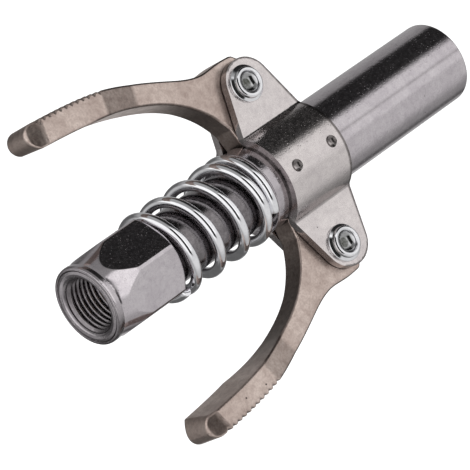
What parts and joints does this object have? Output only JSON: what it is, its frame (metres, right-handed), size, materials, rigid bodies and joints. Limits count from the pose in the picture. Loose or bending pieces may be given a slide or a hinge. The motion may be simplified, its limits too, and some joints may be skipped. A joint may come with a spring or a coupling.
{
  "type": "grease coupler",
  "caption": "Quick-release grease coupler with a hex hose port, a spring-loaded sleeve, squeeze levers and gripping jaws in an open nose.",
  "frame": {"origin": "centre of the threaded port's rear face, on the coupler's axis", "axes": "+X along the coupler towards its open nose, +Y towards the left lever, +Z square to the plane that the levers swing in"},
  "size_m": [0.091, 0.059, 0.0182],
  "materials": {
    "polished_nickel": "turned steel, bright nickel plated",
    "pressed_nickel": "pressed sheet steel, satin nickel plated",
    "cast_nickel": "cast, tumbled and satin nickel plated",
    "bright_steel": "bright plated steel",
    "spring_steel": "plated spring wire",
    "hard_steel": "hardened steel, dark",
    "brass": "turned brass",
    "black_rubber": "matt nitrile rubber"
  },
  "bodies": {
    "core": {"rear_body": "polished_nickel", "check_seat": "brass", "check_spring": "spring_steel", "body_ring": "black_rubber", "jaw_carrier": "hard_steel", "stop_ring": "spring_steel", "jaw_ring": "spring_steel", "seal_spring": "spring_steel", "main_spring": "spring_steel"},
    "sleeve": {"outer_sleeve": "polished_nickel", "bracket_top": "pressed_nickel", "bracket_bottom": "pressed_nickel", "pivot_rivets": "bright_steel"},
    "left_lever": {"lever_left": "cast_nickel"},
    "right_lever": {"lever_right": "cast_nickel"},
    "jaw_a": {"jaw_1": "hard_steel"},
    "jaw_b": {"jaw_2": "hard_steel"},
    "jaw_c": {"jaw_3": "hard_steel"},
    "jaw_d": {"jaw_4": "hard_steel"},
    "seal": {"seal_holder": "brass", "holder_ring": "black_rubber", "face_seal": "black_rubber"},
    "ball": {"check_ball": "bright_steel"}
  },
  "joints": [
    {"name": "sleeve_slide", "type": "slide", "parent": "core", "child": "sleeve", "axis": [1, 0, 0], "range_m": [-0.00439, 0], "stiffness_N_per_m": 9000, "springref_m": 0.003, "deforming": ["main_spring"]},
    {"name": "left_lever_pivot", "type": "hinge", "parent": "sleeve", "child": "left_lever", "pos_m": [0.0484, 0.0157, 0], "axis": [0, 0, 1], "range_deg": [0, 23]},
    {"name": "right_lever_pivot", "type": "hinge", "parent": "sleeve", "child": "right_lever", "pos_m": [0.0484, -0.0157, 0], "axis": [0, 0, -1], "range_deg": [0, 23]},
    {"name": "jaw_a_tilt", "type": "hinge", "parent": "core", "child": "jaw_a", "pos_m": [0.0671, 0.00339, 0.00339], "axis": [0, -0.7071, 0.7071], "range_deg": [0, 2.5]},
    {"name": "jaw_b_tilt", "type": "hinge", "parent": "core", "child": "jaw_b", "pos_m": [0.0671, -0.00339, 0.00339], "axis": [0, -0.7071, -0.7071], "range_deg": [0, 2.5]},
    {"name": "jaw_c_tilt", "type": "hinge", "parent": "core", "child": "jaw_c", "pos_m": [0.0671, -0.00339, -0.00339], "axis": [0, 0.7071, -0.7071], "range_deg": [0, 2.5]},
    {"name": "jaw_d_tilt", "type": "hinge", "parent": "core", "child": "jaw_d", "pos_m": [0.0671, 0.00339, -0.00339], "axis": [0, 0.7071, 0.7071], "range_deg": [0, 2.5]},
    {"name": "seal_slide", "type": "slide", "parent": "core", "child": "seal", "axis": [1, 0, 0], "range_m": [-0.0012, 0], "stiffness_N_per_m": 600, "springref_m": 0.001, "deforming": ["seal_spring"]},
    {"name": "ball_lift", "type": "slide", "parent": "core", "child": "ball", "axis": [1, 0, 0], "range_m": [0, 0.001], "stiffness_N_per_m": 100, "springref_m": -0.001, "deforming": ["check_spring"]}
  ],
  "couplings": [
    {"joint": "left_lever_pivot", "follows": "sleeve_slide", "rad_per_m": -91.44},
    {"joint": "right_lever_pivot", "follows": "sleeve_slide", "rad_per_m": -91.44},
    {"joint": "jaw_a_tilt", "follows": "sleeve_slide", "rad_per_m": -9.939},
    {"joint": "jaw_b_tilt", "follows": "sleeve_slide", "rad_per_m": -9.939},
    {"joint": "jaw_c_tilt", "follows": "sleeve_slide", "rad_per_m": -9.939},
    {"joint": "jaw_d_tilt", "follows": "sleeve_slide", "rad_per_m": -9.939}
  ]
}
